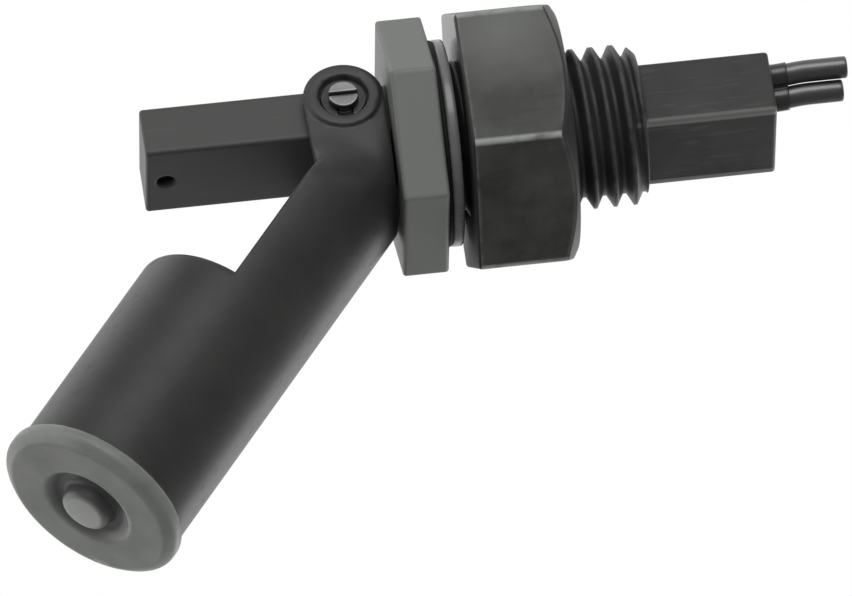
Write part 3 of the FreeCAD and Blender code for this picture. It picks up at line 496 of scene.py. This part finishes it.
def on_crease(edge):
    """Whether an edge is one where two of the arm's three side surfaces meet."""
    for vert in edge.verts:
        rounded = math.sqrt(max(drum_radius ** 2 - (vert.co.z - drum_middle) ** 2, 0))
        widened = ear_side + (flare_start - vert.co.x) * flare_slope
        gaps = sorted(abs(abs(vert.co.y) - side) for side in (ear_side, rounded, widened))
        if gaps[1] > on_surface:
            return False
    return min(vert.co.z for vert in edge.verts) < arm_top - 0.02 * mm


creases = {edge for edge in shell.edges if edge.is_manifold and on_crease(edge)}
round_edges(shell, edge_round, wanted=lambda edge: edge not in creases)
for k in range(grid_lines):
    for normal in ((1, 0, 0), (0, 0, 1)):
        sides = [face for face in shell.faces if abs(face.normal.y) > 0.02
                 and max(vert.co.x for vert in face.verts) > grid_start - 0.2 * mm
                 and min(abs(vert.co.y) for vert in face.verts) > inner_half]
        edges = {edge for face in sides for edge in face.edges}
        corners = {vert for face in sides for vert in face.verts}
        bmesh.ops.bisect_plane(shell, geom=sides + list(edges) + list(corners), dist=joined,
                               plane_co=Vector(normal) * (grid_start + k * grid_step), plane_no=normal)
for vert in shell.verts:
    place, out = vert.co, abs(vert.co.y)
    if place.x < arm_front or place.z > 0:
        continue
    sharp = arm_side(place, 0.0001 * mm)
    eased = arm_side(place, side_blend) - sharp
    if place.z < arm_top - edge_round * 1.02:
        shift = eased * share(1 - (sharp - out) / side_skin)
    else:
        foot = larger(ear_side, ear_side + (flare_start - place.x) * flare_slope, side_blend)
        foot = -larger(-foot, -ear_side - foot_blend, foot_blend) - ear_side
        rise = share(place.z / arm_top)
        foot *= rise * rise * (3 - 2 * rise)
        across = share((out - ear_side) / (sharp - ear_side)) if sharp > ear_side + 0.05 * mm else 0
        shift = (foot + (eased - foot) * across) * share(1 - (ear_side - out) / side_skin)
    vert.co.y += shift if place.y > 0 else -shift
bmesh.ops.recalc_face_normals(shell, faces=shell.faces)
bmesh.ops.transform(shell, matrix=hang, verts=shell.verts)
place_piece("shell", shell, "float", "float_plastic", float_finish, "float_shell")

# --- End cap: a bevelled disc with a dish and a round knob, spun-welded to the drum.
# The weld leaves a thin bead behind the rim.
drum_axis = Vector((0, 0, -0.95 * mm))
drum_end = -49.6 * mm
rim_radius, rim_thick = 9.7 * mm, 1.15 * mm
crown_radius, crown_thick = 8.7 * mm, 0.8 * mm
spigot_radius, spigot_wall, spigot_deep = 7.95 * mm, 1.0 * mm, 2.0 * mm
dish_radius, dish_floor, dish_deep = 4.8 * mm, 3.9 * mm, 0.8 * mm
knob_foot, knob_radius, knob_proud = 2.75 * mm, 2.5 * mm, 0.8 * mm
knob_round, cap_round = 0.6 * mm, 0.26 * mm
notch_turn, notch_half, notch_deep = math.radians(-10), math.radians(4.6), 0.7 * mm
crown = drum_end - rim_thick - crown_thick
knob_top = crown - knob_proud
cap = turned([
    (drum_end, 0), (drum_end, spigot_radius - spigot_wall),
    (drum_end + spigot_deep, spigot_radius - spigot_wall), (drum_end + spigot_deep, spigot_radius),
    (drum_end, spigot_radius), (drum_end, rim_radius), (drum_end - rim_thick, rim_radius),
    (crown, crown_radius), (crown, dish_radius), (crown + dish_deep, dish_floor),
    (crown + dish_deep, knob_foot), (knob_top, knob_radius), (knob_top, 0),
], drum_axis)


def on_knob_top(edge):
    return max(vert.co.x for vert in edge.verts) < knob_top + 0.01 * mm


def in_notch(face):
    place = face.calc_center_median() - drum_axis
    turn = math.atan2(place.z, place.y)
    far_out = math.hypot(place.y, place.z) > rim_radius - notch_deep
    return far_out and abs(turn - notch_turn) < notch_half and face.normal.x < 0.9


round_edges(cap, knob_round, steps=8, wanted=on_knob_top)
round_edges(cap, cap_round, sharper_than=13)
notch_faces = [face for face in cap.faces if in_notch(face)]
moved = bmesh.ops.extrude_face_region(cap, geom=notch_faces)
bmesh.ops.delete(cap, geom=notch_faces, context="FACES")
sunk = [item for item in moved["geom"] if isinstance(item, bmesh.types.BMVert)]
inwards = Vector((0, -math.cos(notch_turn), -math.sin(notch_turn)))
bmesh.ops.translate(cap, verts=sunk, vec=inwards * notch_deep)
bmesh.ops.recalc_face_normals(cap, faces=cap.faces)
bmesh.ops.transform(cap, matrix=hang, verts=cap.verts)
groove_painted_shadow, knob_painted_light = (0.060, 0.062, 0.059), (0.280, 0.288, 0.276)
# The cap's plastic is painted much paler than the float's: painted light on its face.
cap_painted_light_finish = new_finish("cap_polypropylene_painted_light", (0.140, 0.147, 0.140), (0.195, 0.203, 0.193), (0.42, 0.55),
                        0.008 * mm, rub=0.3, Specular_IOR_Level=0.3)
tree, shader, colour, place = open_finish(cap_painted_light_finish)
raised = add_node(tree, "Mapping", {"Vector": place["Object"], "Location": raise_up.translation - drum_axis,
                                    "Rotation": raise_up.to_euler()})
from_axis = from_line(tree, raised.outputs[0])
# Painted shadow in the dish's groove round the knob, and painted light on the knob's face.
colour = tint(tree, ramp(tree, from_axis, dish_radius, dish_floor), colour, groove_painted_shadow)
colour = tint(tree, ramp(tree, from_axis, knob_radius, knob_radius * 0.75), colour, knob_painted_light)
tree.links.new(colour, shader.inputs["Base Color"])
place_piece("end_cap", cap, "float", "cap_plastic", cap_painted_light_finish, "float_end_cap")

bead_start, bead_long = drum_end + 0.02 * mm, 0.40 * mm
bead_radius, bead_thick, bead_root = 9.12 * mm, 0.26 * mm, 0.1 * mm
bead_round, bead_lumps = 0.05 * mm, 0.06 * mm
bead = turned([
    (bead_start, bead_radius), (bead_start + bead_long * 0.2, bead_radius + bead_thick),
    (bead_start + bead_long * 0.7, bead_radius + bead_thick * 0.9), (bead_start + bead_long, bead_radius),
    (bead_start + bead_long * 0.45, bead_radius - bead_root),
], drum_axis, steps=160)
round_edges(bead, bead_round, steps=2)
for vert in bead.verts:
    turn = math.atan2(vert.co.z - drum_axis.z, vert.co.y)
    swell = bead_lumps * (math.sin(23 * turn) * math.sin(9 * turn + 1.0) + 0.6 * math.sin(41 * turn + 2.0))
    vert.co += (vert.co - drum_axis - Vector((vert.co.x, 0, 0))).normalized() * swell
bmesh.ops.transform(bead, matrix=hang, verts=bead.verts)
place_piece("weld_bead", bead, "float", "cap_plastic", float_finish)

# --- Magnet: a short ferrite rod, pushed into a blind bore in the float's arm and closed
# in by a dab of hardened resin.
ferrite = new_finish("ferrite", (0.035, 0.034, 0.034), (0.055, 0.054, 0.053), (0.5, 0.7), 0.02 * mm,
                     fineness=2500.0)
plug_finish = new_finish("plug_resin", (0.10, 0.09, 0.06), (0.14, 0.12, 0.08), (0.25, 0.4), 0.01 * mm,
                         fineness=900.0)
paint_node("magnet", ferrite)
paint_node("magnet_plug", plug_finish)

# --- Pivot: a slotted steel pin in each side of the stem, and a sprung open clip in its
# groove that keeps the ear on.
pin_steel = new_finish("dull_steel", (0.10, 0.10, 0.10), (0.18, 0.18, 0.175), (0.42, 0.60), 0.004 * mm,
                       rub=0.4, reach=0.0002, Metallic=1.0)
clip_steel = new_finish("blued_spring_steel", (0.022, 0.022, 0.024), (0.040, 0.040, 0.043), (0.36, 0.50),
                        0.003 * mm, rub=0.5, reach=0.00015, Metallic=1.0)
pin_round, clip_round = 0.12 * mm, 0.08 * mm
for side in ("near", "far"):
    pin = round_edges(merged_copy(side + "_pivot_pin"), pin_round)
    place_piece(side + "_pin", pin, "switch", "pin_steel", pin_steel, side + "_pivot_pin")
    clip = round_edges(merged_copy(side + "_pivot_clip"), clip_round, steps=2)
    place_piece(side + "_clip", clip, "switch", "clip_steel", clip_steel, side + "_pivot_clip")
